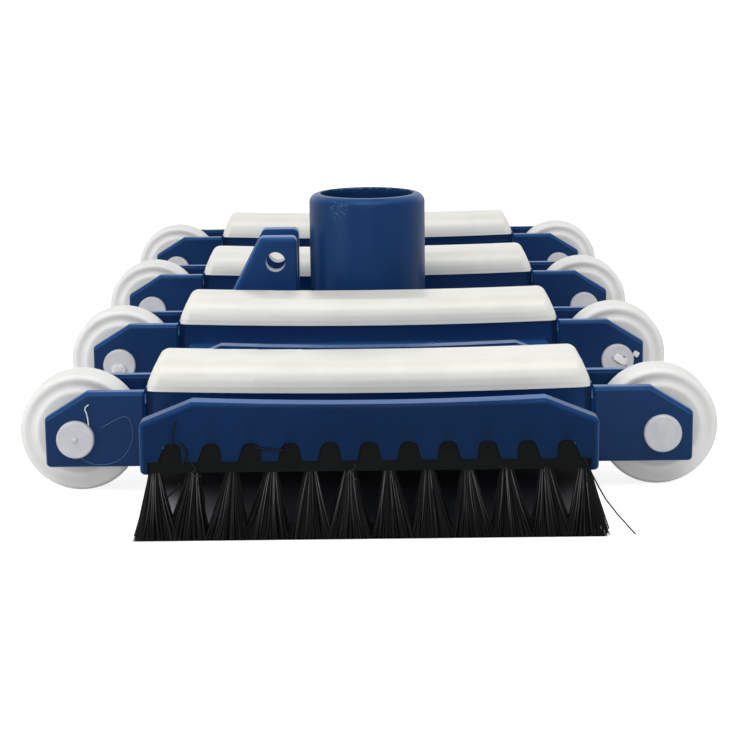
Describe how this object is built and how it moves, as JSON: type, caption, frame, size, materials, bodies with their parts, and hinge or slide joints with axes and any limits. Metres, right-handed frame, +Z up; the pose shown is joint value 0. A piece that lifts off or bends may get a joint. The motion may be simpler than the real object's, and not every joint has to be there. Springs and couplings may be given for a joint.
{
  "type": "manual pool vacuum head",
  "caption": "Weighted flexible pool vacuum head: wheeled yokes in rows under white weight covers, swivel hose port, clevis for a pole handle, a bristle brush at each end.",
  "frame": {"origin": "on the floor under the middle of the hose port, half way between the two brushes", "axes": "+Z up, +Y along the head from the front brush to the rear brush, +X across it; the handle bracket is on the -X side of the port"},
  "size_m": [0.1831, 0.3972, 0.0605],
  "materials": {
    "blue_plastic": "satin moulded blue plastic",
    "blue_vinyl": "satin flexible blue vinyl",
    "port_blue": "satin moulded blue plastic with light scuffs",
    "cover_white": "glossy cream white",
    "wheel_white": "satin white",
    "pin_white": "matt cool white",
    "washer_nylon": "natural nylon",
    "strip_black": "matt black",
    "bristle_black": "black nylon filament",
    "ballast_steel": "plain steel bar",
    "screw_steel": "stainless steel"
  },
  "bodies": {
    "head": {"wheel_carrier_1": "blue_plastic", "weight_cover_1": "cover_white", "ballast_bar_1": "ballast_steel", "wheel_carrier_2": "blue_plastic", "weight_cover_2": "cover_white", "ballast_bar_2": "ballast_steel", "wheel_carrier_3": "blue_plastic", "weight_cover_3": "cover_white", "ballast_bar_3": "ballast_steel", "wheel_carrier_4": "blue_plastic", "weight_cover_4": "cover_white", "ballast_bar_4": "ballast_steel", "axle_pin_1_left": "pin_white", "axle_pin_1_right": "pin_white", "axle_pin_2_left": "pin_white", "axle_pin_2_right": "pin_white", "axle_pin_3_left": "pin_white", "axle_pin_3_right": "pin_white", "axle_pin_4_left": "pin_white", "axle_pin_4_right": "pin_white", "flex_deck": "blue_vinyl", "handle_bracket": "blue_plastic", "end_plate_front": "blue_vinyl", "brush_strip_front": "strip_black", "bristle_tufts_front": "bristle_black", "end_plate_rear": "blue_vinyl", "brush_strip_rear": "strip_black", "bristle_tufts_rear": "bristle_black", "carrier_screws": "screw_steel", "bracket_screws": "screw_steel", "end_plate_screws": "screw_steel"},
    "wheel_1_left": {"wheel_1_left": "wheel_white"},
    "wheel_1_right": {"wheel_1_right": "wheel_white"},
    "wheel_2_left": {"wheel_2_left": "wheel_white"},
    "wheel_2_right": {"wheel_2_right": "wheel_white"},
    "wheel_3_left": {"wheel_3_left": "wheel_white"},
    "wheel_3_right": {"wheel_3_right": "wheel_white"},
    "wheel_4_left": {"wheel_4_left": "wheel_white"},
    "wheel_4_right": {"wheel_4_right": "wheel_white"},
    "port": {"hose_port": "port_blue", "port_washer": "washer_nylon", "port_retaining_ring": "screw_steel"}
  },
  "joints": [
    {"name": "wheel_1_left_spin", "type": "hinge", "parent": "head", "child": "wheel_1_left", "pos_m": [-0.0759, -0.1425, 0.01565], "axis": [0, 1, 0], "continuous": true},
    {"name": "wheel_1_right_spin", "type": "hinge", "parent": "head", "child": "wheel_1_right", "pos_m": [0.0759, -0.1425, 0.01565], "axis": [0, 1, 0], "continuous": true},
    {"name": "wheel_2_left_spin", "type": "hinge", "parent": "head", "child": "wheel_2_left", "pos_m": [-0.0759, -0.0475, 0.01565], "axis": [0, 1, 0], "continuous": true},
    {"name": "wheel_2_right_spin", "type": "hinge", "parent": "head", "child": "wheel_2_right", "pos_m": [0.0759, -0.0475, 0.01565], "axis": [0, 1, 0], "continuous": true},
    {"name": "wheel_3_left_spin", "type": "hinge", "parent": "head", "child": "wheel_3_left", "pos_m": [-0.0759, 0.0475, 0.01565], "axis": [0, 1, 0], "continuous": true},
    {"name": "wheel_3_right_spin", "type": "hinge", "parent": "head", "child": "wheel_3_right", "pos_m": [0.0759, 0.0475, 0.01565], "axis": [0, 1, 0], "continuous": true},
    {"name": "wheel_4_left_spin", "type": "hinge", "parent": "head", "child": "wheel_4_left", "pos_m": [-0.0759, 0.1425, 0.01565], "axis": [0, 1, 0], "continuous": true},
    {"name": "wheel_4_right_spin", "type": "hinge", "parent": "head", "child": "wheel_4_right", "pos_m": [0.0759, 0.1425, 0.01565], "axis": [0, 1, 0], "continuous": true},
    {"name": "port_swivel", "type": "hinge", "parent": "head", "child": "port", "pos_m": [0, 0, 0.02145], "axis": [0, 0, 1], "continuous": true}
  ]
}
